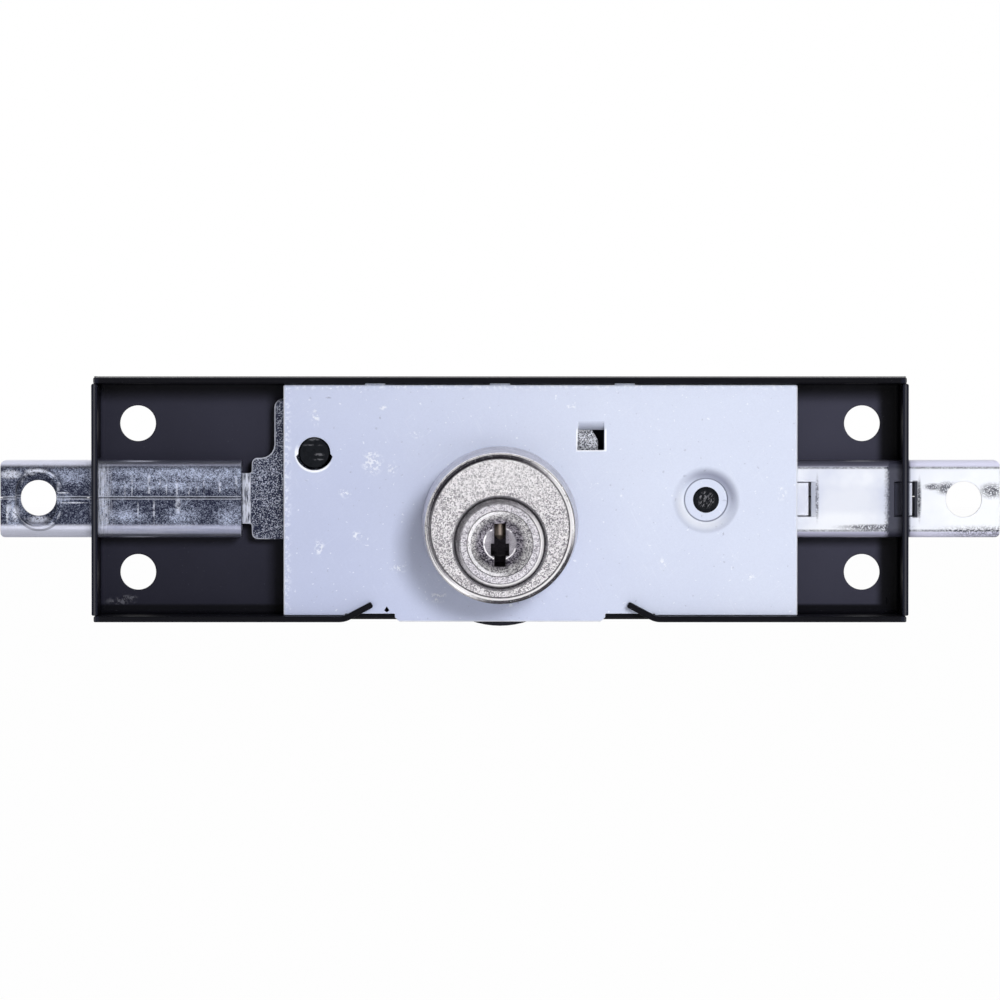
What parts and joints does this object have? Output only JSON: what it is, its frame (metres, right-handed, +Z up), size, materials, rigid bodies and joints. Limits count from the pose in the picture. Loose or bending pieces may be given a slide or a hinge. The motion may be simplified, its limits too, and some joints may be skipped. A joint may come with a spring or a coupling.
{
  "type": "roller shutter lock",
  "caption": "Surface-mounted roller shutter lock: a key cylinder turns a pinion that drives two opposed sliding bolts out of a sheet-metal case.",
  "frame": {"origin": "centre of the four mounting holes, on the back face of the case", "axes": "+X to the right seen from the key side, +Z up, the key side faces -Y and the back face looks along +Y"},
  "size_m": [0.2004, 0.0347, 0.0499],
  "materials": {
    "case_paint": "satin black paint, slightly orange-peeled",
    "cover_zinc": "bright zinc plate, faint rolling marks and specks",
    "housing_nickel": "nickel plated casting, sparkly face, polished rim",
    "plug_nickel": "polished nickel",
    "pin_brass": "turned brass",
    "spring_steel": "drawn steel wire",
    "gear_steel": "machined steel, lightly oiled",
    "clip_steel": "blackened spring steel",
    "left_bolt_zinc": "zinc plated steel, mottled, with fold marks",
    "right_bolt_zinc": "bright zinc plated steel",
    "post_black": "black oxide",
    "screw_zinc": "zinc plated"
  },
  "bodies": {
    "case": {"case": "case_paint", "cover_plate": "cover_zinc", "cylinder_housing": "housing_nickel", "driver_pin_1": "pin_brass", "driver_pin_2": "pin_brass", "driver_pin_3": "pin_brass", "driver_pin_4": "pin_brass", "driver_pin_5": "pin_brass", "pin_spring_1": "spring_steel", "pin_spring_2": "spring_steel", "pin_spring_3": "spring_steel", "pin_spring_4": "spring_steel", "pin_spring_5": "spring_steel", "left_post": "post_black", "right_post": "post_black", "cylinder_screws": "screw_zinc"},
    "plug_drive": {"plug": "plug_nickel", "key_pin_1": "pin_brass", "key_pin_2": "pin_brass", "key_pin_3": "pin_brass", "key_pin_4": "pin_brass", "key_pin_5": "pin_brass", "pinion": "gear_steel", "thrust_washer": "gear_steel", "retaining_clip": "clip_steel"},
    "left_bolt": {"left_bolt": "left_bolt_zinc"},
    "right_bolt": {"right_bolt": "right_bolt_zinc"}
  },
  "joints": [
    {"name": "key_turn", "type": "hinge", "parent": "case", "child": "plug_drive", "pos_m": [0, 0, -0.008], "axis": [0, -1, 0], "range_deg": [0, 180]},
    {"name": "left_slide", "type": "slide", "parent": "case", "child": "left_bolt", "axis": [-1, 0, 0], "range_m": [0, 0.02]},
    {"name": "right_slide", "type": "slide", "parent": "case", "child": "right_bolt", "axis": [1, 0, 0], "range_m": [0, 0.02]}
  ],
  "couplings": [
    {"joint": "left_slide", "follows": "key_turn", "m_per_rad": 0.006366},
    {"joint": "right_slide", "follows": "key_turn", "m_per_rad": 0.006366}
  ]
}
